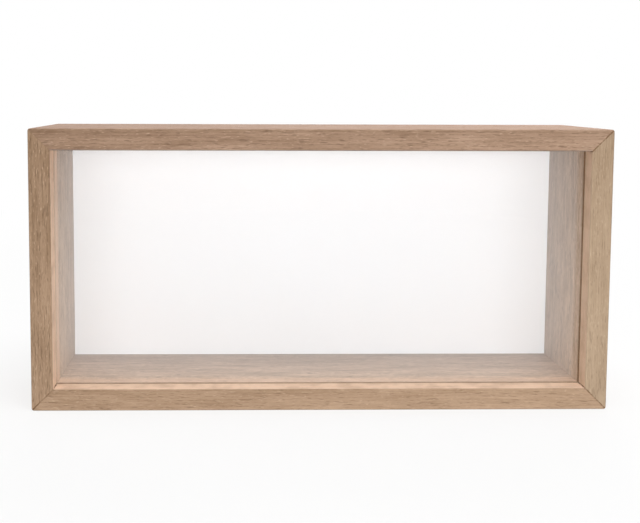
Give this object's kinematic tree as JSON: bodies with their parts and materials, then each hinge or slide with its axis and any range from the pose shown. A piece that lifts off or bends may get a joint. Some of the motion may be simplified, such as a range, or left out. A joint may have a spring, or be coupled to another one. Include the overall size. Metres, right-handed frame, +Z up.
{
  "type": "display case",
  "caption": "Shallow glazed wooden display box with mitred rails, a pane behind a front lip, a white back board, turn buttons and strap hangers.",
  "frame": {"origin": "middle of the underside of the bottom rail, on the surface that the case stands on", "axes": "+X to the right as seen from the front, along the longest side; +Y from the glass to the back; +Z up"},
  "size_m": [0.495, 0.1185, 0.242],
  "materials": {
    "oak": "satin",
    "liner_oak": "satin",
    "beech": "matte",
    "glass": "polished",
    "white_board": "matte",
    "hardboard": "satin",
    "zinc_plate": "satin",
    "ring_steel": "gloss",
    "screw_steel": "satin",
    "bumper_rubber": "matte"
  },
  "bodies": {
    "case": {"top_rail": "oak", "bottom_rail": "oak", "left_rail": "oak", "right_rail": "oak", "liner_top": "liner_oak", "liner_bottom": "liner_oak", "liner_left": "liner_oak", "liner_right": "liner_oak", "corner_spline_top_left": "beech", "corner_spline_top_right": "beech", "corner_spline_bottom_left": "beech", "corner_spline_bottom_right": "beech", "glass_pane": "glass", "backing_board": "white_board", "back_panel": "hardboard", "turn_button_screws": "screw_steel", "hanger_screws": "screw_steel", "hanger_strap_left": "zinc_plate", "wall_bumper_left": "bumper_rubber", "hanger_strap_right": "zinc_plate", "wall_bumper_right": "bumper_rubber"},
    "button_top_left": {"turn_button_top_left": "zinc_plate"},
    "button_top_right": {"turn_button_top_right": "zinc_plate"},
    "button_bottom_left": {"turn_button_bottom_left": "zinc_plate"},
    "button_bottom_right": {"turn_button_bottom_right": "zinc_plate"},
    "button_left": {"turn_button_left": "zinc_plate"},
    "button_right": {"turn_button_right": "zinc_plate"},
    "ring_left": {"hanger_ring_left": "ring_steel"},
    "ring_right": {"hanger_ring_right": "ring_steel"}
  },
  "joints": [
    {"name": "turn_top_left", "type": "hinge", "parent": "case", "child": "button_top_left", "pos_m": [-0.15, 0.05775, 0.2359], "axis": [0, 1, 0], "continuous": true},
    {"name": "turn_top_right", "type": "hinge", "parent": "case", "child": "button_top_right", "pos_m": [0.15, 0.05775, 0.2359], "axis": [0, 1, 0], "continuous": true},
    {"name": "turn_bottom_left", "type": "hinge", "parent": "case", "child": "button_bottom_left", "pos_m": [-0.15, 0.05775, 0.0061], "axis": [0, 1, 0], "range_deg": [-90, 90]},
    {"name": "turn_bottom_right", "type": "hinge", "parent": "case", "child": "button_bottom_right", "pos_m": [0.15, 0.05775, 0.0061], "axis": [0, 1, 0], "range_deg": [-90, 90]},
    {"name": "turn_left", "type": "hinge", "parent": "case", "child": "button_left", "pos_m": [-0.2414, 0.05775, 0.121], "axis": [0, 1, 0], "continuous": true},
    {"name": "turn_right", "type": "hinge", "parent": "case", "child": "button_right", "pos_m": [0.2414, 0.05775, 0.121], "axis": [0, 1, 0], "continuous": true},
    {"name": "swing_ring_left", "type": "hinge", "parent": "case", "child": "ring_left", "pos_m": [-0.2414, 0.0591, 0.204], "axis": [1, 0, 0], "range_deg": [0, 180]},
    {"name": "swing_ring_right", "type": "hinge", "parent": "case", "child": "ring_right", "pos_m": [0.2414, 0.0591, 0.204], "axis": [1, 0, 0], "range_deg": [0, 180]}
  ]
}
